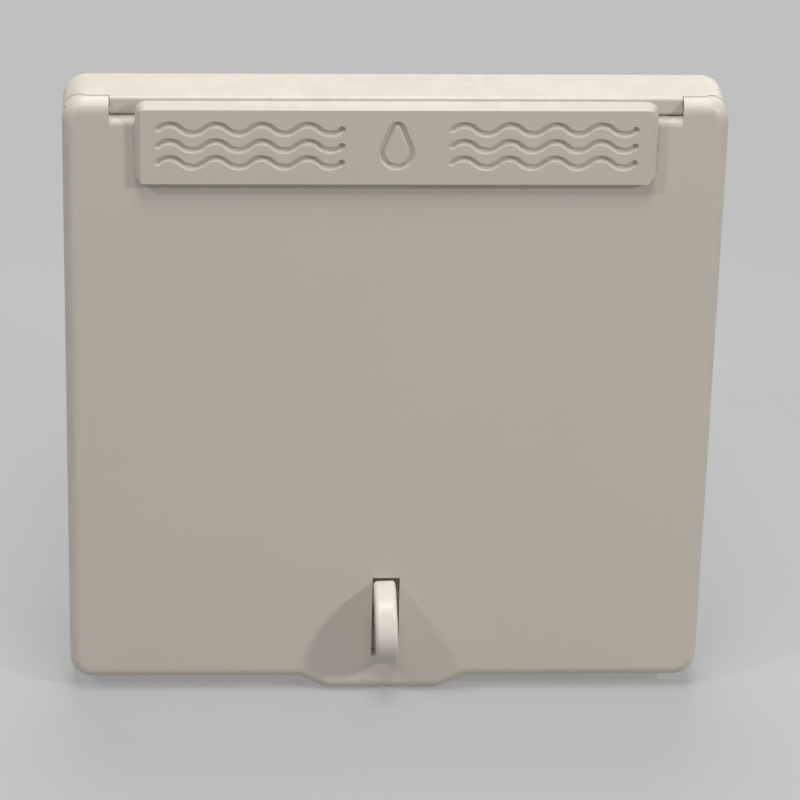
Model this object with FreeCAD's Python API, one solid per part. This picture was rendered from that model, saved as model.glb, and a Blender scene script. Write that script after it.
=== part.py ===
import FreeCAD, Part
import math
import os
from FreeCAD import Vector

# Water filler hatch for a caravan wall, in millimetres.
# The origin is in the plane of the caravan's wall, at the middle of the four fixing holes.
# +X is to the right of someone facing the hatch, -Y is towards them, +Z is up.

os.makedirs("parts", exist_ok=True)

# Face and rim
face_width = 140.0
face_height = 140.0
corner_radius = 5.2
rim_depth = 11.8
wall = 2.5
edge_break = 0.6

# Tub behind the face
tub_boss_gap = 4.4
tub_top_inset = 13.0
tub_bottom_inset = 31.5
tub_corner = 8.0
tub_floor_depth = 30.0
back_tilt = 20.0
roof_start = 30.0
roof_slope = 25.0
seal_step_width = 4.0
seal_step_depth = 2.3
step_floor = 2.5

# Fixing holes through the rim
fixing_side_inset = 5.3
fixing_end_inset = 20.0
fixing_hole_radius = 2.25
fixing_boss_radius = 4.3
countersink_radius = 4.2
countersink_depth = 2.0

# Rear channel of the rim
channel_rib_thickness = 1.6
channel_rib_span = 30.0
gasket_thickness = 2.0
gasket_fit = 0.15
gasket_hole_play = 0.3

# Flap
seat_gap = 0.2
flap_wall = 2.8
flap_edge_radius = 2.7
knuckle_length = 9.8
notch_edge_radius = 1.6
tab_root_width = 37.6
tab_flat_width = 25.0
tab_drop = 3.1
tab_centre = -0.3
tab_root_radius = 2.0
tab_tip_radius = 3.0
slot_width = 6.0
slot_length = 20.0
slot_drop = 0.1
rib_height = 2.0
rib_thickness = 1.5
rib_play = 0.6
flap_rib_columns = 3
flap_rib_rows = 2
seal_width = 2.8
seal_thickness = 1.8
seal_play = 0.6

# Hinge
hinge_drop = 3.1
knuckle_radius = 3.0
knuckle_play = 0.1
knuckle_side_play = 0.15
nose_radius = 1.0
nose_play = 0.15
nose_edge_radius = 0.7
pin_radius = 0.6
pin_running_play = 0.05
pin_seat_play = 0.02
pin_engagement = 14.0
pin_end_inset = 1.6
hinge_block_length = 18.0
hinge_block_depth = 8.0
hinge_block_height = 7.5

# Name plate on the flap, left plain
plate_side_inset = 15.2
plate_height = 19.0
plate_rise = 0.3
plate_thickness = 2.2
plate_bevel = 1.8
plate_bevel_depth = 1.6
plate_corner = 2.6
plate_relief = 0.6

# Turn knob and what holds it
knob_rise = 16.0
knob_radius = 9.4
knob_root = 1.4
knob_thickness = 4.8
knob_draft = 1.5
knob_edge_radius = 0.9
knob_gap = 0.4
knob_rest_turn = 2.5
shaft_radius = 2.5
shaft_play = 0.05
shaft_end_inset = 1.0
post_radius = 6.4
post_chamber_radius = 4.6
post_web = 4.0
groove_radius = 1.9
clip_thickness = 0.5
clip_radius = 3.8
clip_inset = 1.7
clip_opening = 80.0
clip_play = 0.05
washer_thickness = 0.6
washer_radius = 4.3
spring_wire_radius = 0.35
spring_radius = 3.5
spring_turns = 4.0

# Filler neck, in its own frame: z along the neck, out of the wall
neck_x = -12.0
neck_z = 6.0
neck_bore_radius = 17.2
neck_radius = 19.4
neck_length = 13.0
neck_flange_radius = 34.0
neck_flange_thickness = 3.0
neck_gasket_thickness = 1.5
tail_radius = 20.0
tail_length = 30.0
tail_shoulder = 0.8
tail_shoulder_length = 2.0
neck_hole_play = 0.4
neck_screw_circle = 29.0
neck_screw_radius = 1.9
neck_screw_length = 11.0
neck_screw_play = 0.05
neck_screw_clear = 0.3
neck_head_radius = 3.2
neck_head_height = 2.2
neck_recess_radius = 1.3
neck_recess_depth = 1.2
neck_boss_radius = 3.8
neck_boss_length = 7.0

# Filler cap
cap_wall = 3.0
cap_play = 0.6
cap_skirt_gap = 2.0
cap_top_thickness = 3.0
cap_seal_thickness = 1.3
cap_seal_width = 3.6
cap_seal_gap = 0.1
cap_ribs = 18
cap_rib_radius = 1.2
cap_edge_radius = 1.5
grip_length = 42.0
grip_width = 7.0
grip_height = 5.0

# Breather spigot beside the neck
vent_x = 37.0
vent_z = 14.0
vent_bore_radius = 3.4
vent_pipe_radius = 5.0
vent_root_radius = 5.8
vent_root_length = 1.0
vent_collar_radius = 9.0
vent_collar_thickness = 2.5
vent_hood_radius = 6.5
vent_hood_height = 5.5
vent_tail_length = 26.0
vent_seal_thickness = 1.2
vent_hole_play = 0.1
vent_nut_flats = 16.0
vent_nut_thickness = 4.0

# Places worked out from the sizes above
half_width = face_width / 2.0
half_height = face_height / 2.0
fixing_x = half_width - fixing_side_inset
fixing_z = half_height - fixing_end_inset
tub_half_width = fixing_x - fixing_boss_radius - tub_boss_gap
tub_top = half_height - tub_top_inset
tub_bottom = tub_bottom_inset - half_height
notch_half_width = half_width - knuckle_length
plate_width = face_width - 2.0 * plate_side_inset
plate_top = half_height + plate_rise
knob_z = knob_rise - half_height
front_y = -rim_depth
hinge_y = front_y
hinge_z = half_height - hinge_drop
flap_back_y = front_y - seat_gap
flap_face_y = flap_back_y - flap_wall
flap_top = hinge_z + knuckle_radius
notch_edge = hinge_z - nose_radius - nose_play
beam_end = notch_half_width - knuckle_side_play
skirt_half_width = half_width - wall
skirt_half_height = half_height - wall
ledge_back_y = front_y + wall
tub_floor_y = front_y + tub_floor_depth
tilt = math.radians(back_tilt)
gasket_front_y = -gasket_thickness
cut = 1.0


def vec(x, y, z):
    return Vector(x, y, z)


def block(x0, x1, y0, y1, z0, z1):
    return Part.makeBox(x1 - x0, y1 - y0, z1 - z0, vec(x0, y0, z0))


def rod(x, y0, y1, z, radius):
    """A round bar along Y."""
    return Part.makeCylinder(radius, y1 - y0, vec(x, y0, z), vec(0, 1, 0))


def cross_rod(x0, x1, y, z, radius):
    """A round bar along X."""
    return Part.makeCylinder(radius, x1 - x0, vec(x0, y, z), vec(1, 0, 0))


def rounded_wire(corners, radii, y):
    """A closed outline in the plane of one y, with an arc at each corner."""
    points = [vec(x, y, z) for x, z in corners]
    count = len(points)
    entries = []
    for i in range(count):
        before = points[i - 1] - points[i]
        after = points[(i + 1) % count] - points[i]
        before.normalize()
        after.normalize()
        half_angle = before.getAngle(after) / 2.0
        reach = radii[i] / math.tan(half_angle)
        middle = before + after
        middle.normalize()
        centre = points[i] + middle * (radii[i] / math.sin(half_angle))
        start = points[i] + before * reach
        end = points[i] + after * reach
        top_of_arc = centre - middle * radii[i]
        entries.append((start, top_of_arc, end))
    edges = []
    for i in range(count):
        start, top_of_arc, end = entries[i]
        following = entries[(i + 1) % count][0]
        edges.append(Part.Arc(start, top_of_arc, end).toShape())
        edges.append(Part.LineSegment(end, following).toShape())
    return Part.Wire(edges)


def rectangle(left, right, bottom, top):
    return [(left, bottom), (right, bottom), (right, top), (left, top)]


def slab(corners, radii, y0, y1):
    """A flat piece with rounded corners between two values of y."""
    face = Part.Face(rounded_wire(corners, radii, y0))
    return face.extrude(vec(0, y1 - y0, 0))


def rounded_slab(left, right, bottom, top, radius, y0, y1):
    return slab(rectangle(left, right, bottom, top), [radius] * 4, y0, y1)


def turned(profile):
    """A turned piece about local Z, from (radius, z) corners."""
    points = [vec(r, 0, z) for r, z in profile]
    outline = Part.makePolygon(points + [points[0]])
    return Part.Face(outline).revolve(vec(0, 0, 0), vec(0, 0, 1), 360.0)


def tube(inner, outer, z0, z1):
    return turned([(inner, z0), (outer, z0), (outer, z1), (inner, z1)])


def wall_y(z):
    """Depth of the tub's slanted back wall at a height."""
    return tub_floor_y + (z - tub_bottom) * math.tan(tilt)


def wall_frame(x, z):
    """Placement of a frame on the back wall, with its Z out of the wall."""
    turn = FreeCAD.Rotation(vec(1, 0, 0), 90.0 - back_tilt)
    return FreeCAD.Placement(vec(x, wall_y(z), z), turn)


def placed(shape, placement):
    moved = shape.copy()
    moved.Placement = placement.multiply(moved.Placement)
    return moved


def save(shape, name):
    solid = shape.removeSplitter() if shape.ShapeType != "Solid" else shape
    solids = solid.Solids
    if len(solids) == 1:
        solid = solids[0]
    solid.exportStep(os.path.join("parts", name + ".step"))


def outline_slab(inset, y0, y1):
    radius = max(corner_radius - inset, 0.5)
    return rounded_slab(
        -half_width + inset, half_width - inset, -half_height + inset, half_height - inset, radius, y0, y1
    )


def tub_slab(grow, y0, y1):
    return rounded_slab(
        -tub_half_width - grow,
        tub_half_width + grow,
        tub_bottom - grow,
        tub_top + grow,
        tub_corner + grow,
        y0,
        y1,
    )


def half_space(y, z, angle):
    """A large block beyond the plane through (y, z), which faces up for 0 degrees and back for 90."""
    span = face_width * 2.0
    cutter = block(-span, span, -span, span, 0.0, 2.0 * span)
    turn = FreeCAD.Rotation(vec(1, 0, 0), -angle)
    return placed(cutter, FreeCAD.Placement(vec(0, y, z), turn))


def tub_form(grow, y0):
    """The tub's inside, or its outside when grown, cut off along the slanted back and roof."""
    reach = wall_y(tub_top) + 4.0 * wall + grow
    form = tub_slab(grow, y0, reach)
    form = form.cut(half_space(tub_floor_y + grow / math.cos(tilt), tub_bottom, 90.0 + back_tilt))
    roof_rise = grow / math.cos(math.radians(roof_slope))
    return form.cut(half_space(front_y + roof_start, tub_top + roof_rise, roof_slope))


def fixing_points():
    return [(x, z) for x in (-fixing_x, fixing_x) for z in (-fixing_z, fixing_z)]


def neck_screw_points():
    points = []
    for i in range(4):
        angle = math.radians(45.0 + 90.0 * i)
        points.append((neck_screw_circle * math.cos(angle), neck_screw_circle * math.sin(angle)))
    return points


def make_rim():
    """Skirt, front ledge and the step that the flap's seal drops into."""
    rim = outline_slab(0.0, front_y, 0.0)
    rim = rim.cut(outline_slab(wall, ledge_back_y, cut))
    floor_y = front_y + seal_step_depth + step_floor
    rim = rim.fuse(tub_slab(seal_step_width + wall, front_y, floor_y))
    return rim


def make_channel_ribs():
    """Short ribs in the rear channel, which the wall gasket lies on."""
    ribs = []
    half = channel_rib_thickness / 2.0
    top_z = skirt_half_height + wall / 2.0
    side_x = skirt_half_width + wall / 2.0
    for i in (-1, 0, 1):
        place = i * channel_rib_span
        for side in (-1, 1):
            x0, x1 = sorted((side * tub_half_width, side * side_x))
            ribs.append(block(x0, x1, ledge_back_y, gasket_front_y, place - half, place + half))
        ribs.append(block(place - half, place + half, ledge_back_y, gasket_front_y, tub_top, top_z))
        if i != 0:
            ribs.append(block(place - half, place + half, ledge_back_y, gasket_front_y, -top_z, tub_bottom))
    return ribs


def make_hinge_blocks():
    """Solid corners of the rim that carry the pins."""
    blocks = []
    for side in (-1, 1):
        x0, x1 = sorted((side * (notch_half_width - hinge_block_length), side * half_width))
        body = block(x0, x1, front_y, front_y + hinge_block_depth, half_height - hinge_block_height, half_height)
        blocks.append(body.common(outline_slab(0.0, front_y, 0.0)))
    return blocks


def make_beam_nose():
    """Front of the hinge beam, rounded below, which covers the pins and shows in the flap's notch."""
    nose_front_y = front_y - nose_radius
    top = block(-beam_end, beam_end, nose_front_y, front_y + nose_radius, hinge_z, half_height)
    front_edges = []
    for edge in edges_on(top, nose_front_y):
        if edge.BoundBox.ZMin > half_height - 0.001:
            front_edges.append(edge)
    top = top.makeFillet(min(nose_edge_radius, nose_radius * 0.9), front_edges)
    return top.fuse(cross_rod(-beam_end, beam_end, hinge_y, hinge_z, nose_radius))


def make_neck_bosses():
    """Screw bosses on the back of the slanted wall, in the neck's frame."""
    bosses = []
    for x, y in neck_screw_points():
        boss = Part.makeCylinder(neck_boss_radius, neck_boss_length + wall / 2.0, vec(x, y, -wall / 2.0), vec(0, 0, -1))
        bosses.append(placed(boss, wall_frame(neck_x, neck_z)))
    return bosses


def cut_hinge(shape):
    for side in (-1, 1):
        x0, x1 = sorted((side * beam_end, side * (half_width + cut)))
        shape = shape.cut(cross_rod(x0, x1, hinge_y, hinge_z, knuckle_radius + knuckle_play))
        x0, x1 = sorted((side * (beam_end - pin_engagement), side * (half_width + cut)))
        shape = shape.cut(cross_rod(x0, x1, hinge_y, hinge_z, pin_radius + pin_seat_play))
    return shape


def make_housing():
    shape = make_rim()
    for piece in make_channel_ribs() + make_hinge_blocks() + [make_beam_nose()]:
        shape = shape.fuse(piece)
    for x, z in fixing_points():
        shape = shape.fuse(rod(x, ledge_back_y - wall / 2.0, 0.0, z, fixing_boss_radius))
    shape = shape.fuse(rod(0.0, ledge_back_y - wall / 2.0, -shaft_end_inset / 2.0, knob_z, post_radius))
    shape = shape.fuse(tub_form(wall, front_y + wall / 2.0))
    for boss in make_neck_bosses():
        shape = shape.fuse(boss)
    shape = shape.common(outline_slab(0.0, front_y - 2.0 * nose_radius, face_width))
    shape = shape.cut(tub_form(0.0, front_y - cut))
    shape = shape.cut(tub_slab(seal_step_width, front_y - cut, front_y + seal_step_depth))
    for x, z in fixing_points():
        shape = shape.cut(rod(x, front_y - cut, cut, z, fixing_hole_radius))
        cone = Part.makeCone(
            countersink_radius, fixing_hole_radius, countersink_depth, vec(x, front_y, z), vec(0, 1, 0)
        )
        shape = shape.cut(cone)
    shape = shape.cut(rod(0.0, front_y - cut, cut, knob_z, shaft_radius + shaft_play))
    shape = shape.cut(rod(0.0, front_y + post_web, cut, knob_z, post_chamber_radius))
    frame = wall_frame(neck_x, neck_z)
    hole_radius = tail_radius + tail_shoulder + neck_hole_play
    hole = Part.makeCylinder(hole_radius, 4.0 * wall, vec(0, 0, -2.0 * wall))
    shape = shape.cut(placed(hole, frame))
    for x, y in neck_screw_points():
        pilot = Part.makeCylinder(
            neck_screw_radius + neck_screw_play, neck_screw_length + 2.0 * wall, vec(x, y, wall), vec(0, 0, -1)
        )
        shape = shape.cut(placed(pilot, frame))
    vent_hole = Part.makeCylinder(vent_root_radius + vent_hole_play, 4.0 * wall, vec(0, 0, -2.0 * wall))
    shape = shape.cut(placed(vent_hole, wall_frame(vent_x, vent_z)))
    return cut_hinge(shape)


def make_wall_gasket():
    """Foam ring in the rear channel, squeezed flush with the rim's back edge."""
    inset = wall + gasket_fit
    ring = outline_slab(inset, gasket_front_y, 0.0)
    ring = ring.cut(tub_slab(wall + gasket_fit, gasket_front_y - cut, cut))
    for x, z in fixing_points():
        ring = ring.cut(rod(x, gasket_front_y - cut, cut, z, fixing_boss_radius + gasket_hole_play))
    return ring.cut(rod(0.0, gasket_front_y - cut, cut, knob_z, post_radius + gasket_hole_play))


def flap_outline():
    """Corners and corner radii of the flap, seen from the front, with its grip tab."""
    left = tab_centre - tab_root_width / 2.0
    right = tab_centre + tab_root_width / 2.0
    flat_left = tab_centre - tab_flat_width / 2.0
    flat_right = tab_centre + tab_flat_width / 2.0
    bottom = -half_height
    corners = [
        (-half_width, bottom),
        (left, bottom),
        (flat_left, bottom - tab_drop),
        (flat_right, bottom - tab_drop),
        (right, bottom),
        (half_width, bottom),
        (half_width, flap_top),
        (-half_width, flap_top),
    ]
    radii = [
        corner_radius,
        tab_root_radius,
        tab_tip_radius,
        tab_tip_radius,
        tab_root_radius,
        corner_radius,
        corner_radius,
        corner_radius,
    ]
    return corners, radii


def edges_on(shape, y):
    """Edges that lie wholly in the plane of one y."""
    found = []
    for edge in shape.Edges:
        box = edge.BoundBox
        if abs(box.YMin - y) < 0.001 and abs(box.YMax - y) < 0.001:
            found.append(edge)
    return found


def make_flap():
    corners, radii = flap_outline()
    edge_radius = min(flap_edge_radius, flap_wall * 0.97)
    shape = slab(corners, radii, flap_back_y, flap_face_y)
    shape = shape.makeFillet(edge_radius, edges_on(shape, flap_face_y))
    notch = block(
        -notch_half_width,
        notch_half_width,
        flap_face_y - cut,
        flap_back_y + cut,
        notch_edge,
        flap_top + cut,
    )
    shape = shape.cut(notch)
    ledge_edges = []
    for edge in edges_on(shape, flap_face_y):
        box = edge.BoundBox
        if abs(box.ZMin - notch_edge) < 0.001 and abs(box.ZMax - notch_edge) < 0.001:
            ledge_edges.append(edge)
    shape = shape.makeFillet(notch_edge_radius, ledge_edges)
    limit = slab(corners, radii, flap_face_y, hinge_y + knuckle_radius + cut)
    limit = limit.makeFillet(edge_radius, edges_on(limit, flap_face_y))
    for side in (-1, 1):
        x0, x1 = sorted((side * notch_half_width, side * (half_width + cut)))
        barrel = cross_rod(x0, x1, hinge_y, hinge_z, knuckle_radius)
        outside = block(x0, x1, flap_face_y - cut, flap_back_y + cut, hinge_z, flap_top + cut).cut(barrel)
        shape = shape.cut(outside).fuse(barrel.common(limit))
    for piece in make_flap_ribs():
        shape = shape.fuse(piece)
    for side in (-1, 1):
        x0, x1 = sorted((side * (notch_half_width - cut), side * (half_width + cut)))
        shape = shape.cut(cross_rod(x0, x1, hinge_y, hinge_z, pin_radius + pin_running_play))
    slot = block(
        -slot_width / 2.0,
        slot_width / 2.0,
        flap_face_y - cut,
        flap_back_y + cut,
        knob_z - slot_drop - slot_length / 2.0,
        knob_z - slot_drop + slot_length / 2.0,
    )
    return shape.cut(slot)


def make_flap_ribs():
    """Locating rib that enters the tub's mouth, with stiffening ribs inside it."""
    rib_back_y = flap_back_y + rib_height
    ring = tub_slab(-rib_play, flap_back_y, rib_back_y)
    ring = ring.cut(tub_slab(-rib_play - rib_thickness, flap_back_y - cut, rib_back_y + cut))
    pieces = [ring]
    half = rib_thickness / 2.0
    inner_x = tub_half_width - rib_play - half
    inner_top = tub_top - rib_play - half
    inner_bottom = tub_bottom + rib_play + half
    low_back_y = flap_back_y + rib_height * 0.8
    for i in range(flap_rib_columns):
        x = -inner_x + (i + 1) * 2.0 * inner_x / (flap_rib_columns + 1)
        pieces.append(block(x - half, x + half, flap_back_y, low_back_y, inner_bottom, inner_top))
    for i in range(flap_rib_rows):
        z = inner_bottom + (i + 1) * (inner_top - inner_bottom) / (flap_rib_rows + 1)
        pieces.append(block(-inner_x, inner_x, flap_back_y, low_back_y, z - half, z + half))
    return pieces


def make_flap_seal():
    """Soft ring glued to the flap's back, which drops into the rim's step."""
    inner = seal_play
    ring = tub_slab(inner + seal_width, flap_back_y, flap_back_y + seal_thickness)
    return ring.cut(tub_slab(inner, flap_back_y - cut, flap_back_y + seal_thickness + cut))


def make_label_plate():
    """Bevelled plate along the flap's top, hollowed where it hangs over the notch."""
    half = plate_width / 2.0
    top = plate_top
    bottom = top - plate_height
    plate_front_y = flap_face_y - plate_thickness
    bevel_y = plate_front_y + plate_bevel_depth
    plate = rounded_slab(-half, half, bottom, top, plate_corner, flap_face_y, bevel_y)
    back = rounded_wire(rectangle(-half, half, bottom, top), [plate_corner] * 4, bevel_y)
    front_corner = max(plate_corner - plate_bevel, 0.4)
    front = rounded_wire(
        rectangle(-half + plate_bevel, half - plate_bevel, bottom + plate_bevel, top - plate_bevel),
        [front_corner] * 4,
        plate_front_y,
    )
    plate = plate.fuse(Part.makeLoft([back, front], True, True))
    relief = block(
        -half - cut, half + cut, flap_face_y - plate_relief, flap_face_y + cut, notch_edge, top + cut
    )
    return plate.cut(relief)


def make_hinge_pin(side):
    x0, x1 = sorted((side * (beam_end - pin_engagement), side * (half_width - pin_end_inset)))
    return cross_rod(x0, x1, hinge_y, hinge_z, pin_radius)


def make_turn_knob():
    """Half-round finger blade on a round shaft, with a groove for its clip."""
    base_y = flap_face_y - knob_gap
    thickness = knob_thickness
    arc_y = base_y - knob_root
    disc = cross_rod(-thickness / 2.0, thickness / 2.0, arc_y, knob_z, knob_radius)
    reach = 2.0 * knob_radius
    disc = disc.cut(block(-reach, reach, arc_y, arc_y + reach, knob_z - reach, knob_z + reach))
    z0 = knob_z - knob_radius
    z1 = knob_z + knob_radius
    root = block(-thickness / 2.0, thickness / 2.0, arc_y, base_y, z0, z1)
    disc = disc.fuse(root).removeSplitter()
    for side in (-1, 1):
        wedge = block(0.0, reach, -reach, 0.0, -reach, reach)
        turn = FreeCAD.Rotation(vec(0, 0, 1), knob_draft)
        wedge = placed(wedge, FreeCAD.Placement(vec(thickness / 2.0, 0, 0), turn))
        if side < 0:
            wedge = wedge.mirror(vec(0, 0, 0), vec(1, 0, 0))
        wedge.translate(vec(0, base_y, knob_z))
        disc = disc.cut(wedge)
    rim_edges = []
    for edge in disc.Edges:
        box = edge.BoundBox
        if box.ZLength > knob_radius and box.YLength > knob_radius * 0.5:
            rim_edges.append(edge)
    disc = disc.makeFillet(min(knob_edge_radius, thickness * 0.4), rim_edges)
    end_y = -shaft_end_inset
    shape = disc.fuse(rod(0.0, base_y - knob_radius * 0.3, end_y, knob_z, shaft_radius))
    clip_y = -clip_inset
    groove = rod(0.0, clip_y - clip_thickness - clip_play, clip_y + clip_play, knob_z, shaft_radius + cut)
    groove = groove.cut(rod(0.0, clip_y - clip_thickness - cut, clip_y + cut, knob_z, groove_radius))
    shape = shape.cut(groove)
    return shape.rotate(vec(0, 0, knob_z), vec(0, 1, 0), -knob_rest_turn)


def make_knob_clip():
    clip_y = -clip_inset
    ring = rod(0.0, clip_y - clip_thickness, clip_y, knob_z, clip_radius)
    ring = ring.cut(rod(0.0, clip_y - clip_thickness - cut, clip_y + cut, knob_z, groove_radius))
    sector = Part.makeCylinder(
        clip_radius + cut, clip_thickness + 2.0 * cut, vec(0, clip_y - clip_thickness - cut, knob_z), vec(0, 1, 0),
        clip_opening,
    )
    return ring.cut(sector)


def washer_back_y():
    return -clip_inset - clip_thickness


def make_knob_washer():
    back_y = washer_back_y()
    ring = rod(0.0, back_y - washer_thickness, back_y, knob_z, washer_radius)
    return ring.cut(rod(0.0, back_y - washer_thickness - cut, back_y + cut, knob_z, shaft_radius + shaft_play))


def make_knob_spring():
    """Small coil spring between the post's web and the washer."""
    start = front_y + post_web + spring_wire_radius
    end = washer_back_y() - washer_thickness - spring_wire_radius
    length = end - start
    helix = Part.makeHelix(length / spring_turns, length, spring_radius)
    section = Part.Wire([Part.makeCircle(spring_wire_radius, vec(spring_radius, 0, 0), vec(0, 1, 0))])
    coil = Part.Wire(helix.Edges).makePipeShell([section], True, True)
    turn = FreeCAD.Rotation(vec(1, 0, 0), -90.0)
    return placed(coil, FreeCAD.Placement(vec(0, start, knob_z), turn))


def make_filler_neck():
    """Flanged neck with a plain hose tail behind it, and a shoulder where the hose stops."""
    flange_back = neck_gasket_thickness
    flange_front = flange_back + neck_flange_thickness
    end = flange_front + neck_length
    tail_end = -tail_length
    shoulder_radius = tail_radius + tail_shoulder
    shoulder_end = -wall - tail_shoulder_length
    profile = [
        (neck_bore_radius, tail_end),
        (tail_radius - edge_break, tail_end),
        (tail_radius, tail_end + edge_break),
        (tail_radius, shoulder_end),
        (shoulder_radius, shoulder_end),
        (shoulder_radius, flange_back),
        (neck_flange_radius, flange_back),
        (neck_flange_radius, flange_front - edge_break),
        (neck_flange_radius - edge_break, flange_front),
        (neck_radius, flange_front),
        (neck_radius, end - edge_break),
        (neck_radius - edge_break, end),
        (neck_bore_radius, end),
    ]
    neck = turned(profile)
    for x, y in neck_screw_points():
        hole = Part.makeCylinder(neck_screw_radius + neck_screw_clear, 3.0 * neck_flange_thickness, vec(x, y, 0))
        neck = neck.cut(hole)
    return placed(neck, wall_frame(neck_x, neck_z))


def make_neck_gasket():
    inner = tail_radius + tail_shoulder + neck_hole_play
    ring = tube(inner, neck_flange_radius - edge_break, 0.0, neck_gasket_thickness)
    for x, y in neck_screw_points():
        hole = Part.makeCylinder(neck_screw_radius + neck_screw_clear, 4.0 * neck_gasket_thickness, vec(x, y, -cut))
        ring = ring.cut(hole)
    return placed(ring, wall_frame(neck_x, neck_z))


def make_neck_screw(x, y):
    """Pan-head screw with a plain square recess."""
    seat = neck_gasket_thickness + neck_flange_thickness
    shank = Part.makeCylinder(neck_screw_radius, neck_screw_length, vec(0, 0, seat), vec(0, 0, -1))
    head = Part.makeCylinder(neck_head_radius, neck_head_height, vec(0, 0, seat))
    rim = [edge for edge in head.Edges if abs(edge.BoundBox.ZMin - seat - neck_head_height) < 0.001]
    head = head.makeFillet(neck_head_height * 0.5, rim)
    recess = Part.makeBox(
        2.0 * neck_recess_radius,
        2.0 * neck_recess_radius,
        neck_recess_depth + cut,
        vec(-neck_recess_radius, -neck_recess_radius, seat + neck_head_height - neck_recess_depth),
    )
    screw = shank.fuse(head).cut(recess)
    screw.translate(vec(x, y, 0))
    return placed(screw, wall_frame(neck_x, neck_z))


def neck_end():
    return neck_gasket_thickness + neck_flange_thickness + neck_length


def make_cap_seal():
    start = neck_end() + cap_seal_gap
    outer = neck_radius + cap_play - 2.0 * cap_seal_gap
    ring = tube(outer - cap_seal_width, outer, start, start + cap_seal_thickness)
    return placed(ring, wall_frame(neck_x, neck_z))


def make_filler_cap():
    """Screw cap with finger ribs round its skirt and a grip bar on top."""
    inner = neck_radius + cap_play
    outer = inner + cap_wall
    skirt = neck_gasket_thickness + neck_flange_thickness + cap_skirt_gap
    ceiling = neck_end() + cap_seal_thickness + 2.0 * cap_seal_gap
    top = ceiling + cap_top_thickness
    cap = Part.makeCylinder(outer, top - skirt, vec(0, 0, skirt))
    rim = [edge for edge in cap.Edges if abs(edge.BoundBox.ZMin - top) < 0.001]
    cap = cap.makeFillet(cap_edge_radius, rim)
    for i in range(cap_ribs):
        angle = 2.0 * math.pi * i / cap_ribs
        centre = vec(outer * math.cos(angle), outer * math.sin(angle), skirt)
        cap = cap.fuse(Part.makeCylinder(cap_rib_radius, top - cap_edge_radius - skirt, centre))
    bar = Part.makeBox(
        grip_length, grip_width, grip_height + cut, vec(-grip_length / 2.0, -grip_width / 2.0, top - cut)
    )
    uprights = [edge for edge in bar.Edges if edge.BoundBox.ZLength > grip_height]
    bar = bar.makeFillet(grip_width * 0.45, uprights)
    crown = [edge for edge in bar.Edges if abs(edge.BoundBox.ZMin - top - grip_height) < 0.001]
    bar = bar.makeFillet(cap_edge_radius, crown)
    cap = cap.fuse(bar)
    cap = cap.cut(Part.makeCylinder(inner, ceiling - skirt + cut, vec(0, 0, skirt - cut)))
    return placed(cap, wall_frame(neck_x, neck_z))


def make_vent_spigot():
    """Breather with a collar, an open hood, a root for its nut and a thinner hose tail."""
    collar_back = vent_seal_thickness
    collar_front = collar_back + vent_collar_thickness
    hood_end = collar_front + vent_hood_height
    root_end = -wall - vent_nut_thickness - vent_root_length
    profile = [
        (vent_bore_radius, -vent_tail_length),
        (vent_pipe_radius - edge_break, -vent_tail_length),
        (vent_pipe_radius, -vent_tail_length + edge_break),
        (vent_pipe_radius, root_end),
        (vent_root_radius, root_end),
        (vent_root_radius, collar_back),
        (vent_collar_radius, collar_back),
        (vent_collar_radius, collar_front - edge_break),
        (vent_collar_radius - edge_break, collar_front),
        (vent_hood_radius, collar_front),
        (vent_hood_radius, hood_end - edge_break),
        (vent_hood_radius - edge_break, hood_end),
        (vent_bore_radius, hood_end),
    ]
    return placed(turned(profile), wall_frame(vent_x, vent_z))


def make_vent_seal():
    ring = tube(vent_root_radius + vent_hole_play, vent_collar_radius - edge_break, 0.0, vent_seal_thickness)
    return placed(ring, wall_frame(vent_x, vent_z))


def make_vent_nut():
    """Hexagon nut behind the wall that holds the breather."""
    corner = vent_nut_flats / 2.0 / math.cos(math.radians(30.0))
    points = []
    for i in range(6):
        angle = math.radians(60.0 * i)
        points.append(vec(corner * math.cos(angle), corner * math.sin(angle), -wall))
    hexagon = Part.Face(Part.makePolygon(points + [points[0]]))
    nut = hexagon.extrude(vec(0, 0, -vent_nut_thickness))
    bore = Part.makeCylinder(vent_root_radius + pin_running_play, 3.0 * vent_nut_thickness, vec(0, 0, -wall + cut))
    bore.translate(vec(0, 0, -2.0 * vent_nut_thickness))
    nut = nut.cut(bore)
    return placed(nut, wall_frame(vent_x, vent_z))


save(make_housing(), "housing")
save(make_wall_gasket(), "wall_gasket")
save(make_flap(), "flap")
save(make_flap_seal(), "flap_seal")
save(make_label_plate(), "label_plate")
save(make_hinge_pin(-1), "hinge_pin_left")
save(make_hinge_pin(1), "hinge_pin_right")
save(make_turn_knob(), "turn_knob")
save(make_knob_clip(), "knob_clip")
save(make_knob_washer(), "knob_washer")
save(make_knob_spring(), "knob_spring")
save(make_filler_neck(), "filler_neck")
save(make_neck_gasket(), "neck_gasket")
for number, (screw_x, screw_y) in enumerate(neck_screw_points(), start=1):
    save(make_neck_screw(screw_x, screw_y), "neck_screw_%d" % number)
save(make_cap_seal(), "cap_seal")
save(make_filler_cap(), "filler_cap")
save(make_vent_spigot(), "vent_spigot")
save(make_vent_seal(), "vent_seal")
save(make_vent_nut(), "vent_nut")
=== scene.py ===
import bpy
from math import asin, cos, degrees, radians, sin
from mathutils import Matrix, Vector


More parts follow.
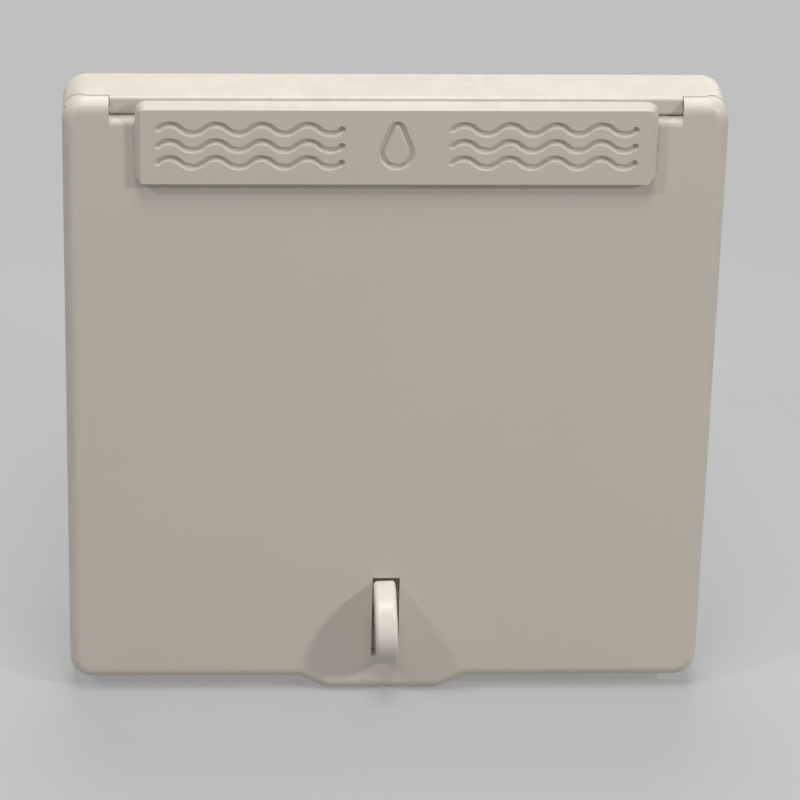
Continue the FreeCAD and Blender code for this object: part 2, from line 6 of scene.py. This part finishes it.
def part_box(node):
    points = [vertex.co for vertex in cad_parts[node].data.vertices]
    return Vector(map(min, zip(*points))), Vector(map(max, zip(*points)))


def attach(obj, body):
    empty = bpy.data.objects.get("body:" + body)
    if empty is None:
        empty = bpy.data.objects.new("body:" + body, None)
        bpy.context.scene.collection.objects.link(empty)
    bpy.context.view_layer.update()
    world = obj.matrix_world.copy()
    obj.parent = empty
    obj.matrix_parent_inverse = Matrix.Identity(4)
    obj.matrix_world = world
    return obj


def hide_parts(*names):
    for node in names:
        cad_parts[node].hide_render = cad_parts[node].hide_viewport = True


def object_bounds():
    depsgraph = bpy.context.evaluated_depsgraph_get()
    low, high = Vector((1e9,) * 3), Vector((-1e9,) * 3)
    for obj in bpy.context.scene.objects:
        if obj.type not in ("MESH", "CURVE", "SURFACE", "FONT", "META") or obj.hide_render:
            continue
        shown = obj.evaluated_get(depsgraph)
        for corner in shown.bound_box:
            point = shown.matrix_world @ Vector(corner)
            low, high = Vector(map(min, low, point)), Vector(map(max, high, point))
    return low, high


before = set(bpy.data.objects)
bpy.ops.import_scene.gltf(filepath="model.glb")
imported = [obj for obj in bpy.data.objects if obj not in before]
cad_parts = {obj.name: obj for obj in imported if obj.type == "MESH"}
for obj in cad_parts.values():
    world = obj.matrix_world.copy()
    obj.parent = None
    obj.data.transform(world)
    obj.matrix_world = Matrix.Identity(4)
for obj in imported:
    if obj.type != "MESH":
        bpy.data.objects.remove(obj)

cad_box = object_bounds()
MM = 0.001

# Places on the hatch, in metres. The hatch faces -Y, and +Z is up.
plate_low, plate_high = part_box("label_plate")
plate_front_y = plate_low[1]
plate_middle_z = (plate_low[2] + plate_high[2]) / 2
face_y = plate_high[1]
notch_edge_z = 65.75 * MM

# Camera

VIEW_PITCH, VIEW_YAW, VIEW_ROLL = radians(27.0), radians(-3.16), radians(1.37)
VIEW_TARGET = (0.0, -14.8 * MM, 0.0)
VIEW_DISTANCE = 0.898
SENSOR_WIDTH = 36.0
# The photo's width, the lens and the lens's shift, all in the photo's pixels.
PHOTO_WIDTH = 800.0
FOCAL_LENGTH = 4153.0
SHIFT_X, SHIFT_Y = 9.5, 0.3


def add_camera():
    """The photograph's view: from above, a little from the left, with a long lens."""
    pitch, yaw, roll = VIEW_PITCH, VIEW_YAW, VIEW_ROLL
    target = Vector(VIEW_TARGET)
    back = Vector((sin(yaw) * cos(pitch), -cos(yaw) * cos(pitch), sin(pitch)))
    right = (-back).cross(Vector((0, 0, 1))).normalized()
    up = right.cross(-back)
    right_rolled = cos(roll) * right + sin(roll) * up
    up_rolled = -sin(roll) * right + cos(roll) * up
    place = target + VIEW_DISTANCE * back
    data = bpy.data.cameras.new("camera")
    data.sensor_width = SENSOR_WIDTH
    data.lens = FOCAL_LENGTH * SENSOR_WIDTH / PHOTO_WIDTH
    data.shift_x = SHIFT_X / PHOTO_WIDTH
    data.shift_y = SHIFT_Y / PHOTO_WIDTH
    camera = bpy.data.objects.new("camera", data)
    bpy.context.scene.collection.objects.link(camera)
    turn = Matrix((right_rolled, up_rolled, back)).transposed().to_4x4()
    camera.matrix_world = Matrix.Translation(place) @ turn
    bpy.context.scene.camera = camera


add_camera()

# Light

# Each lamp's name, its direction from the hatch, its distance, the width of its disc and its watts.
LAMPS = (
    ("light_above_front", (0.0, -0.36, 1.0), 0.9, 0.40, 2.9),
    ("light_above_back", (0.0, 0.36, 1.0), 0.9, 0.40, 3.3),
    ("light_right", (0.72, -0.52, 0.49), 1.1, 0.09, 3.4),
    ("light_left", (-0.61, -0.42, 0.67), 1.1, 0.09, 2.1),
    ("light_behind", (0.35, 1.0, 0.12), 1.2, 0.60, 1.2),
)
LAMP_AIM = (0.0, -0.012, 0.0)
WORLD_LIGHT = 0.22
BACKDROP = (0.521, 0.521, 0.521, 1.0)


def add_area_light(name, toward, distance, size, watts):
    aim = Vector(LAMP_AIM)
    direction = Vector(toward).normalized()
    data = bpy.data.lights.new(name, "AREA")
    data.shape = "DISK"
    data.size = size
    data.energy = watts
    lamp = bpy.data.objects.new(name, data)
    bpy.context.scene.collection.objects.link(lamp)
    lamp.location = aim + direction * distance
    lamp.rotation_euler = direction.to_track_quat("Z", "Y").to_euler()


for lamp_values in LAMPS:
    add_area_light(*lamp_values)


def set_world():
    """Even light from all round, with a plain grey behind the hatch, in gloss and through clear things."""
    world = bpy.data.worlds.new("studio")
    bpy.context.scene.world = world
    world.use_nodes = True
    nodes, links = world.node_tree.nodes, world.node_tree.links
    nodes.clear()
    out = nodes.new("ShaderNodeOutputWorld")
    mix = nodes.new("ShaderNodeMixShader")
    light = nodes.new("ShaderNodeBackground")
    seen = nodes.new("ShaderNodeBackground")
    path = nodes.new("ShaderNodeLightPath")
    light.inputs["Color"].default_value = (1.0, 1.0, 1.0, 1.0)
    light.inputs["Strength"].default_value = WORLD_LIGHT
    seen.inputs["Color"].default_value = BACKDROP
    seen.inputs["Strength"].default_value = 1.0
    shown = path.outputs["Is Camera Ray"]
    for kind in ("Is Transmission Ray", "Is Glossy Ray"):
        either = nodes.new("ShaderNodeMath")
        either.operation = "MAXIMUM"
        links.new(shown, either.inputs[0])
        links.new(path.outputs[kind], either.inputs[1])
        shown = either.outputs[0]
    links.new(shown, mix.inputs["Fac"])
    links.new(light.outputs[0], mix.inputs[1])
    links.new(seen.outputs[0], mix.inputs[2])
    links.new(mix.outputs[0], out.inputs["Surface"])
    bpy.context.scene.view_settings.view_transform = "Standard"


set_world()

# Shared effects


def new_group(name, sockets_in, sockets_out):
    """A node group with the inputs (name, type, value) and outputs (name, type)."""
    tree = bpy.data.node_groups.new(name, "ShaderNodeTree")
    for label, kind, value in sockets_in:
        socket = tree.interface.new_socket(label, in_out="INPUT", socket_type=kind)
        socket.default_value = value
    for label, kind in sockets_out:
        tree.interface.new_socket(label, in_out="OUTPUT", socket_type=kind)
    return tree, tree.nodes.new("NodeGroupInput"), tree.nodes.new("NodeGroupOutput")


def math_node(tree, operation, *values):
    node = tree.nodes.new("ShaderNodeMath")
    node.operation = operation
    for i, value in enumerate(values):
        if hasattr(value, "is_linked"):
            tree.links.new(value, node.inputs[i])
        else:
            node.inputs[i].default_value = value
    return node.outputs[0]


def mix_colour(tree, amount, first, second):
    node = tree.nodes.new("ShaderNodeMix")
    node.data_type = "RGBA"
    for socket, value in ((node.inputs[0], amount), (node.inputs[6], first), (node.inputs[7], second)):
        if hasattr(value, "is_linked"):
            tree.links.new(value, socket)
        else:
            socket.default_value = value
    return node.outputs[2]


def noise(tree, vector, scale, detail=2.0, roughness=0.5):
    node = tree.nodes.new("ShaderNodeTexNoise")
    node.inputs["Scale"].default_value = scale
    node.inputs["Detail"].default_value = detail
    node.inputs["Roughness"].default_value = roughness
    tree.links.new(vector, node.inputs["Vector"])
    return node.outputs["Fac"]


def ramp(tree, value, low, high):
    node = tree.nodes.new("ShaderNodeMapRange")
    node.interpolation_type = "SMOOTHSTEP"
    node.inputs["From Min"].default_value = low
    node.inputs["From Max"].default_value = high
    tree.links.new(value, node.inputs["Value"])
    return node.outputs["Result"]


def moulded_grain_group():
    """Satin skin of moulded plastic: fine grain, cloudy tone and a few pale specks."""
    tree, given, out = new_group(
        "moulded_grain",
        [("Vector", "NodeSocketVector", (0, 0, 0)), ("Grain Size", "NodeSocketFloat", 1.0)],
        [("Height", "NodeSocketFloat"), ("Cloud", "NodeSocketFloat"), ("Specks", "NodeSocketFloat")],
    )
    spread = tree.nodes.new("ShaderNodeVectorMath")
    spread.operation = "SCALE"
    tree.links.new(given.outputs["Vector"], spread.inputs[0])
    tree.links.new(given.outputs["Grain Size"], spread.inputs["Scale"])
    fine = noise(tree, spread.outputs[0], 2600.0, 3.0, 0.6)
    broad = noise(tree, spread.outputs[0], 420.0, 2.0, 0.5)
    height = math_node(tree, "ADD", fine, math_node(tree, "MULTIPLY", broad, 0.6))
    cloud = noise(tree, given.outputs["Vector"], 22.0, 4.0, 0.55)
    cells = tree.nodes.new("ShaderNodeTexVoronoi")
    cells.inputs["Scale"].default_value = 42.0
    tree.links.new(given.outputs["Vector"], cells.inputs["Vector"])
    speck = math_node(tree, "SUBTRACT", 1.0, ramp(tree, cells.outputs["Distance"], 0.010, 0.020))
    tree.links.new(height, out.inputs["Height"])
    tree.links.new(cloud, out.inputs["Cloud"])
    tree.links.new(speck, out.inputs["Specks"])
    return tree


def worn_rim_group():
    """Mask that rises where the piece is near the edge of a box given by its half sizes."""
    tree, given, out = new_group(
        "worn_rim",
        [
            ("Vector", "NodeSocketVector", (0, 0, 0)),
            ("Half Width", "NodeSocketFloat", 0.07),
            ("Half Height", "NodeSocketFloat", 0.07),
            ("Band", "NodeSocketFloat", 0.002),
        ],
        [("Mask", "NodeSocketFloat")],
    )
    split = tree.nodes.new("ShaderNodeSeparateXYZ")
    tree.links.new(given.outputs["Vector"], split.inputs[0])
    out_x = math_node(tree, "ABSOLUTE", split.outputs["X"])
    out_z = math_node(tree, "ABSOLUTE", split.outputs["Z"])
    from_side = math_node(tree, "SUBTRACT", given.outputs["Half Width"], out_x)
    from_end = math_node(tree, "SUBTRACT", given.outputs["Half Height"], out_z)
    nearest = math_node(tree, "MINIMUM", from_side, from_end)
    share = math_node(tree, "DIVIDE", nearest, given.outputs["Band"])
    mask = math_node(tree, "SUBTRACT", 1.0, ramp(tree, share, 0.0, 1.0))
    patchy = ramp(tree, noise(tree, given.outputs["Vector"], 160.0, 4.0, 0.7), 0.42, 0.62)
    tree.links.new(math_node(tree, "MULTIPLY", mask, patchy), out.inputs["Mask"])
    return tree


def dust_group():
    """Mask of fine dust that settles on faces that look up."""
    tree, given, out = new_group(
        "settled_dust",
        [("Vector", "NodeSocketVector", (0, 0, 0)), ("Normal", "NodeSocketVector", (0, 0, 1))],
        [("Mask", "NodeSocketFloat")],
    )
    split = tree.nodes.new("ShaderNodeSeparateXYZ")
    tree.links.new(given.outputs["Normal"], split.inputs[0])
    upward = ramp(tree, split.outputs["Z"], 0.2, 1.0)
    patchy = ramp(tree, noise(tree, given.outputs["Vector"], 300.0, 5.0, 0.75), 0.35, 0.75)
    tree.links.new(math_node(tree, "MULTIPLY", upward, patchy), out.inputs["Mask"])
    return tree


GRAIN = moulded_grain_group()
WORN_RIM = worn_rim_group()
DUST = dust_group()

# Finishes

WEAR_BAND = 2.2 * MM
WEAR_AMOUNT = 0.45
SPECK_COLOUR = (0.9, 0.88, 0.84, 1)
# Half sizes of the hatch's face, of the plate's outer edges, and of a rim too far out to wear anything.
FACE_RIM = (0.07, 0.07)
PLATE_RIM = (0.0548, 0.0703)
NO_RIM = (0.3, 0.3)


def new_material(name):
    material = bpy.data.materials.new(name)
    material.use_nodes = True
    tree = material.node_tree
    tree.nodes.clear()
    shader = tree.nodes.new("ShaderNodeBsdfPrincipled")
    out = tree.nodes.new("ShaderNodeOutputMaterial")
    tree.links.new(shader.outputs[0], out.inputs["Surface"])
    where = tree.nodes.new("ShaderNodeTexCoord").outputs["Object"]
    return material, tree, shader, where


def use_group(tree, group, where, **values):
    node = tree.nodes.new("ShaderNodeGroup")
    node.node_tree = group
    tree.links.new(where, node.inputs["Vector"])
    for label, value in values.items():
        node.inputs[label.replace("_", " ")].default_value = value
    return node


def bump(tree, height, shader, strength, distance):
    node = tree.nodes.new("ShaderNodeBump")
    node.inputs["Strength"].default_value = strength
    node.inputs["Distance"].default_value = distance
    tree.links.new(height, node.inputs["Height"])
    tree.links.new(node.outputs[0], shader.inputs["Normal"])


def spread_roughness(tree, value, low, high):
    node = tree.nodes.new("ShaderNodeMapRange")
    node.inputs["To Min"].default_value = low
    node.inputs["To Max"].default_value = high
    tree.links.new(value, node.inputs["Value"])
    return node.outputs["Result"]


def plastic(
    name, colour, shade, rub_and_highlight, roughness=0.42, rim=FACE_RIM, grain=0.12, grain_size=1.0, speck=0.35, pale=None
):
    """Moulded plastic of a colour clouded with shade. Worn edges turn to the rub colour, and where two heights
    are given in pale, everything above them turns to it as well, as a painted highlight on the top."""
    material, tree, shader, where = new_material(name)
    skin = use_group(tree, GRAIN, where, Grain_Size=grain_size)
    wear = use_group(tree, WORN_RIM, where, Half_Width=rim[0], Half_Height=rim[1], Band=WEAR_BAND)
    cloud = ramp(tree, skin.outputs["Cloud"], 0.3, 0.7)
    base = mix_colour(tree, cloud, shade, colour)
    # Painted highlight: above the heights in pale, the colour turns to the rub colour.
    if pale:
        split = tree.nodes.new("ShaderNodeSeparateXYZ")
        tree.links.new(where, split.inputs[0])
        base = mix_colour(tree, ramp(tree, split.outputs["Z"], *pale), base, rub_and_highlight)
    worn = mix_colour(tree, math_node(tree, "MULTIPLY", wear.outputs["Mask"], WEAR_AMOUNT), base, rub_and_highlight)
    specks = math_node(tree, "MULTIPLY", skin.outputs["Specks"], speck)
    marked = mix_colour(tree, specks, worn, SPECK_COLOUR)
    tree.links.new(marked, shader.inputs["Base Color"])
    tree.links.new(spread_roughness(tree, cloud, roughness - 0.03, roughness + 0.04), shader.inputs["Roughness"])
    bump(tree, skin.outputs["Height"], shader, grain, 0.05 * MM)
    return material


cream = (0.672, 0.610, 0.524, 1.0)
cream_shade = (0.664, 0.602, 0.513, 1.0)
cream_rub = (0.740, 0.690, 0.610, 1.0)

shell_plastic = plastic("shell_plastic", cream, cream_shade, cream_rub)
# The plate's cream is a touch darker than the shell's: painted shade, a shaded copy of the same plastic.
plate_plastic = plastic(
    "plate_plastic", (0.665, 0.604, 0.518, 1), (0.655, 0.595, 0.508, 1), cream_rub, rim=PLATE_RIM
)
# The knob's near-white third colour is both its worn-edge colour and a painted highlight that whitens the knob
# from 60 to 50 mm below the middle upward.
knob_plastic = plastic(
    "knob_plastic",
    (0.655, 0.592, 0.502, 1),
    (0.645, 0.582, 0.492, 1),
    (0.93, 0.86, 0.765, 1),
    roughness=0.33,
    pale=(-0.060, -0.050),
)
neck_plastic = plastic(
    "neck_plastic",
    (0.022, 0.023, 0.025, 1),
    (0.016, 0.017, 0.019, 1),
    (0.06, 0.06, 0.063, 1),
    roughness=0.46,
    rim=NO_RIM,
    grain=0.2,
    grain_size=0.8,
    speck=0.05,
)
cap_plastic = plastic(
    "cap_plastic",
    (0.072, 0.120, 0.190, 1),
    (0.060, 0.104, 0.170, 1),
    (0.16, 0.22, 0.30, 1),
    roughness=0.4,
    rim=NO_RIM,
    grain=0.22,
    grain_size=0.7,
    speck=0.05,
)


def rubber():
    """Dull black rubber with dust on what looks up."""
    material, tree, shader, where = new_material("seal_rubber")
    skin = use_group(tree, GRAIN, where, Grain_Size=0.6)
    dust = use_group(tree, DUST, where)
    facing = tree.nodes.new("ShaderNodeNewGeometry")
    tree.links.new(facing.outputs["Normal"], dust.inputs["Normal"])
    cloud = ramp(tree, skin.outputs["Cloud"], 0.3, 0.7)
    base = mix_colour(tree, cloud, (0.018, 0.018, 0.019, 1), (0.030, 0.030, 0.031, 1))
    dusty = mix_colour(tree, math_node(tree, "MULTIPLY", dust.outputs["Mask"], 0.35), base, (0.14, 0.13, 0.12, 1))
    tree.links.new(dusty, shader.inputs["Base Color"])
    tree.links.new(spread_roughness(tree, cloud, 0.6, 0.72), shader.inputs["Roughness"])
    bump(tree, skin.outputs["Height"], shader, 0.25, 0.06 * MM)
    return material


def closed_cell_foam():
    """Black foam with small cells."""
    material, tree, shader, where = new_material("foam")
    cells = tree.nodes.new("ShaderNodeTexVoronoi")
    cells.inputs["Scale"].default_value = 1700.0
    tree.links.new(where, cells.inputs["Vector"])
    pore = ramp(tree, cells.outputs["Distance"], 0.1, 0.6)
    base = mix_colour(tree, pore, (0.022, 0.022, 0.024, 1), (0.060, 0.060, 0.064, 1))
    tree.links.new(base, shader.inputs["Base Color"])
    shader.inputs["Roughness"].default_value = 0.95
    bump(tree, pore, shader, 0.7, 0.2 * MM)
    return material


def bright_steel():
    """Drawn steel with fine lines and faint stains, for the pins, screws, washer, clip and spring."""
    material, tree, shader, where = new_material("steel")
    squeeze = tree.nodes.new("ShaderNodeMapping")
    squeeze.inputs["Scale"].default_value = (0.25, 1.0, 1.0)
    tree.links.new(where, squeeze.inputs["Vector"])
    lines = noise(tree, squeeze.outputs[0], 5200.0, 3.0, 0.65)
    stain = ramp(tree, noise(tree, where, 260.0, 4.0, 0.6), 0.4, 0.75)
    base = mix_colour(tree, stain, (0.62, 0.62, 0.60, 1), (0.42, 0.41, 0.39, 1))
    tree.links.new(base, shader.inputs["Base Color"])
    shader.inputs["Metallic"].default_value = 1.0
    tree.links.new(spread_roughness(tree, lines, 0.22, 0.42), shader.inputs["Roughness"])
    bump(tree, lines, shader, 0.15, 0.02 * MM)
    return material


seal_rubber = rubber()
foam = closed_cell_foam()
steel = bright_steel()

FINISH = {
    "housing": shell_plastic,
    "flap": shell_plastic,
    "label_plate": plate_plastic,
    "turn_knob": knob_plastic,
    "wall_gasket": foam,
    "flap_seal": seal_rubber,
    "neck_gasket": seal_rubber,
    "cap_seal": seal_rubber,
    "vent_seal": seal_rubber,
    "filler_neck": neck_plastic,
    "vent_spigot": neck_plastic,
    "vent_nut": neck_plastic,
    "filler_cap": cap_plastic,
}
for name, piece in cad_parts.items():
    piece.data.materials.clear()
    piece.data.materials.append(FINISH.get(name, steel))

# Modelling


def deselect_all():
    if bpy.context.object and bpy.context.object.mode != "OBJECT":
        bpy.ops.object.mode_set(mode="OBJECT")
    bpy.ops.object.select_all(action="DESELECT")


def begin(name):
    """Names the primitive that was just added and settles its place into its mesh."""
    piece = bpy.context.object
    piece.name = name
    bpy.ops.object.transform_apply(location=True, rotation=True, scale=True)
    return piece


def add_block(name, low, high):
    """A block between two corners."""
    deselect_all()
    middle = [(a + b) / 2 for a, b in zip(low, high)]
    size = [b - a for a, b in zip(low, high)]
    bpy.ops.mesh.primitive_cube_add(size=1.0, location=middle, scale=size)
    return begin(name)


def pick(piece, kind, test):
    """Edit mode with the vertices, edges or faces selected that pass the test."""
    bpy.context.view_layer.objects.active = piece
    bpy.ops.object.mode_set(mode="EDIT")
    bpy.ops.mesh.select_mode(type=kind)
    bpy.ops.mesh.select_all(action="DESELECT")
    bpy.ops.object.mode_set(mode="OBJECT")
    mesh = piece.data
    if kind == "FACE":
        for face in mesh.polygons:
            face.select = test(face.center, face.normal)
    elif kind == "EDGE":
        for edge in mesh.edges:
            a, b = (mesh.vertices[i].co for i in edge.vertices)
            edge.select = test((a + b) / 2, (b - a).normalized())
    else:
        for vertex in mesh.vertices:
            vertex.select = test(vertex.co, vertex.normal)
    bpy.ops.object.mode_set(mode="EDIT")


def done():
    bpy.ops.object.mode_set(mode="OBJECT")


def apply_modifier(piece, kind, **settings):
    deselect_all()
    piece.select_set(True)
    bpy.context.view_layer.objects.active = piece
    modifier = piece.modifiers.new(kind.lower(), kind)
    for label, value in settings.items():
        setattr(modifier, label, value)
    bpy.ops.object.modifier_apply(modifier=modifier.name)


def cut_away(piece, cutter):
    apply_modifier(piece, "BOOLEAN", object=cutter, operation="DIFFERENCE", solver="EXACT", use_self=True)
    bpy.data.objects.remove(cutter)


def smooth(piece, limit):
    """Smooth shading, apart from edges sharper than the limit in degrees."""
    deselect_all()
    piece.select_set(True)
    bpy.context.view_layer.objects.active = piece
    bpy.ops.object.shade_smooth_by_angle(angle=radians(limit))


def finish_piece(piece, body, slot, material, *nodes):
    piece.data.materials.clear()
    piece.data.materials.append(material)
    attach(piece, body)
    if nodes:
        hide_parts(*nodes)


def join(pieces):
    deselect_all()
    for piece in pieces:
        piece.select_set(True)
    bpy.context.view_layer.objects.active = pieces[0]
    bpy.ops.object.join()
    return pieces[0]


# Plate with its water mark

BEVEL_WIDTH = 1.8 * MM
BEVEL_DEPTH = 1.6 * MM
CORNER_RADIUS = 2.6 * MM
EDGE_WIDTH = 0.45 * MM
# How far the front's edges are moved out of an even bevel: down below, up above and out at each side.
FRONT_DOWN, FRONT_UP, FRONT_OUT = 1.1 * MM, 0.3 * MM, 0.7 * MM
# Depth of the hollow that the hinge beam's nose turns in, measured from the flap's face.
HOLLOW_DEPTH = 0.6 * MM
SMOOTH_LIMIT = 8.0

# The grooves' radius, the height of the mark's middle, and the angles that round a groove's end.
GROOVE = 0.8 * MM
GROOVE_SIDES = 20
MARK_Y = plate_front_y
MARK_Z = 60.7 * MM
DOME = (75.0, 50.0, 25.0, 0.0)
MERGE_DISTANCE = 0.00002
WAVE_RADIUS = 3.4 * MM
WAVE_SLOPE = 45.0
WAVE_STEPS = 12
WAVE_COUNT = 4
WAVE_STARTS = (-50.0 * MM, 11.6 * MM)
WAVE_LIFTS = (-3.8 * MM, 0.0, 3.8 * MM)
DROP_STEPS = 16
TIP_STEPS = 8


def groove_start(x, z, slope, fill="NGON"):
    """Round cutter at the start of a groove, facing along the slope in degrees. With the fill NGON it gets a
    rounded end, and with NOTHING it stays open, for a groove that closes on itself."""
    deselect_all()
    radius = GROOVE * cos(radians(DOME[0])) if fill == "NGON" else GROOVE
    back = GROOVE * sin(radians(DOME[0])) if fill == "NGON" else 0.0
    bpy.ops.mesh.primitive_circle_add(vertices=GROOVE_SIDES, radius=radius, fill_type=fill, location=(0, 0, 0))
    cutter = bpy.context.object
    cutter.rotation_euler = (0.0, radians(90.0 - slope), 0.0)
    cutter.location = (x - back * cos(radians(slope)), MARK_Y, z - back * sin(radians(slope)))
    bpy.ops.object.transform_apply(location=True, rotation=True, scale=True)
    bpy.ops.object.mode_set(mode="EDIT")
    bpy.ops.mesh.select_all(action="SELECT")
    if fill == "NGON":
        groove_dome(x, z, slope, [-angle for angle in DOME])
    return cutter


def groove_dome(x, z, slope, angles):
    """Rounds a groove's end: the angles run from the pole at 90 degrees to the full width at 0."""
    along = Vector((cos(radians(slope)), 0.0, sin(radians(slope))))
    for before, after in zip(angles, angles[1:]):
        step = GROOVE * (sin(radians(after)) - sin(radians(before)))
        groove_run(along.x * step, along.z * step)
        size = cos(radians(after)) / cos(radians(before))
        middle = Vector((x, MARK_Y, z)) + along * GROOVE * sin(radians(after))
        bpy.ops.transform.resize(value=(size, size, size), center_override=middle)


def groove_arc(x, z, turn, steps):
    """Sweeps the cutter's end round a centre.
    A positive turn, in degrees, is anticlockwise from the front."""
    axis = (0, 1, 0) if turn > 0 else (0, -1, 0)
    bpy.ops.mesh.spin(steps=steps, angle=radians(abs(turn)), center=(x, MARK_Y, z), axis=axis)


def groove_run(dx, dz):
    """Carries the cutter's end straight on."""
    bpy.ops.mesh.extrude_region_move(TRANSFORM_OT_translate={"value": (dx, 0, dz)})


def groove_done(cutter):
    """Welds the cutter into a closed skin that faces outward."""
    bpy.ops.mesh.select_all(action="SELECT")
    bpy.ops.mesh.remove_doubles(threshold=MERGE_DISTANCE)
    bpy.ops.mesh.normals_make_consistent(inside=False)
    bpy.ops.object.mode_set(mode="OBJECT")
    return cutter


def wave_groove(x, z, waves):
    """A run of even waves that starts at x and z, made of arcs of a quarter turn."""
    radius = WAVE_RADIUS
    step = 2 * radius * sin(radians(WAVE_SLOPE))
    cutter = groove_start(x, z, WAVE_SLOPE)
    for i in range(2 * waves):
        side = 1.0 if i % 2 == 0 else -1.0
        middle_z = z - side * radius * cos(radians(WAVE_SLOPE))
        groove_arc(x + (i + 0.5) * step, middle_z, -2 * WAVE_SLOPE * side, WAVE_STEPS)
    groove_dome(x + 2 * waves * step, z, WAVE_SLOPE, DOME[::-1])
    return groove_done(cutter)


def drop_groove(x, z, radius, tip_radius, height):
    """Outline of a water drop: a round part centred on x and z, and a smaller arc for its tip above."""
    lean = asin((radius - tip_radius) / height)
    dx, dz = height * cos(lean) * sin(lean), height * cos(lean) * cos(lean)
    low_turn = 90.0 + degrees(lean)
    cutter = groove_start(x, z - radius, 0.0, "NOTHING")
    groove_arc(x, z, low_turn, DROP_STEPS)
    groove_run(-dx, dz)
    groove_arc(x, z + height, 360.0 - 2 * low_turn, TIP_STEPS)
    groove_run(-dx, -dz)
    groove_arc(x, z, low_turn, DROP_STEPS)
    return groove_done(cutter)


def make_plate():
    """Bevelled plate on the flap with a plain mark of waves and a drop pressed into it."""
    bevel_y = plate_front_y + BEVEL_DEPTH
    low = (plate_low[0], bevel_y, plate_low[2])
    plate = add_block("plate", low, (plate_high[0], face_y, plate_high[2]))
    pick(plate, "EDGE", lambda middle, along: abs(along.y) > 0.9)
    bpy.ops.mesh.bevel(offset=CORNER_RADIUS, segments=12, affect="EDGES")
    done()
    pick(plate, "FACE", lambda middle, normal: normal.y < -0.9)
    bpy.ops.mesh.inset(thickness=BEVEL_WIDTH, depth=BEVEL_DEPTH)
    done()
    front_y = bevel_y - MM
    for side, move in ((-1, -FRONT_DOWN), (1, FRONT_UP)):
        pick(plate, "VERT", lambda at, normal: at.y < front_y and (at.z - plate_middle_z) * side > 0)
        bpy.ops.transform.translate(value=(0, 0, move))
        done()
    for side in (-1, 1):
        pick(plate, "VERT", lambda at, normal: at.y < front_y and at.x * side > 0)
        bpy.ops.transform.translate(value=(side * FRONT_OUT, 0, 0))
        done()
    low = (plate_low[0] - MM, face_y - HOLLOW_DEPTH, notch_edge_z)
    cut_away(plate, add_block("hollow", low, (plate_high[0] + MM, face_y + MM, plate_high[2] + MM)))
    apply_modifier(
        plate, "BEVEL", width=EDGE_WIDTH, segments=3, limit_method="ANGLE", angle_limit=radians(25.0)
    )
    grooves = [
        drop_groove(x=0.0, z=MARK_Z - 1.6 * MM, radius=3.1 * MM, tip_radius=1.1 * MM, height=5.4 * MM)
    ]
    for start in WAVE_STARTS:
        for lift in WAVE_LIFTS:
            grooves.append(wave_groove(start, MARK_Z + lift, WAVE_COUNT))
    cut_away(plate, join(grooves))
    # The flat front keeps a crisp edge, so the shading of the grooves and the bevel doesn't spread over it.
    smooth(plate, SMOOTH_LIMIT)
    pick(plate, "FACE", lambda at, normal: normal.y < -0.9999)
    bpy.ops.mesh.region_to_loop()
    bpy.ops.mesh.mark_sharp()
    done()
    finish_piece(plate, "flap", "plate_plastic", plate_plastic, "label_plate")


make_plate()

# Floor

FLOOR_SIZE = 6.0
FLOOR_GAP = 0.0005
FLOOR_COLOUR = (0.56, 0.56, 0.565, 1)
# The floor is this clear at the hatch, and wholly clear beyond the second distance.
FLOOR_CLEAR = 0.45
FADE_FROM, FADE_TO = 0.08, 0.36


def make_floor():
    """Pale floor that fades into the backdrop, and keeps the hatch's shadow."""
    deselect_all()
    bpy.ops.mesh.primitive_plane_add(size=FLOOR_SIZE, location=(0, 0, cad_box[0][2] - FLOOR_GAP))
    floor = bpy.context.object
    floor.name = "floor"
    material, tree, shader, where = new_material("floor_grey")
    shader.inputs["Base Color"].default_value = FLOOR_COLOUR
    shader.inputs["Roughness"].default_value = 0.9
    far = tree.nodes.new("ShaderNodeVectorMath")
    far.operation = "LENGTH"
    tree.links.new(where, far.inputs[0])
    clear = tree.nodes.new("ShaderNodeBsdfTransparent")
    mix = tree.nodes.new("ShaderNodeMixShader")
    fade = ramp(tree, far.outputs["Value"], FADE_FROM, FADE_TO)
    rest = math_node(tree, "MULTIPLY", fade, 1.0 - FLOOR_CLEAR)
    tree.links.new(math_node(tree, "ADD", FLOOR_CLEAR, rest), mix.inputs["Fac"])
    tree.links.new(shader.outputs[0], mix.inputs[1])
    tree.links.new(clear.outputs[0], mix.inputs[2])
    out = [node for node in tree.nodes if node.type == "OUTPUT_MATERIAL"][0]
    tree.links.new(mix.outputs[0], out.inputs["Surface"])
    floor.data.materials.append(material)


make_floor()
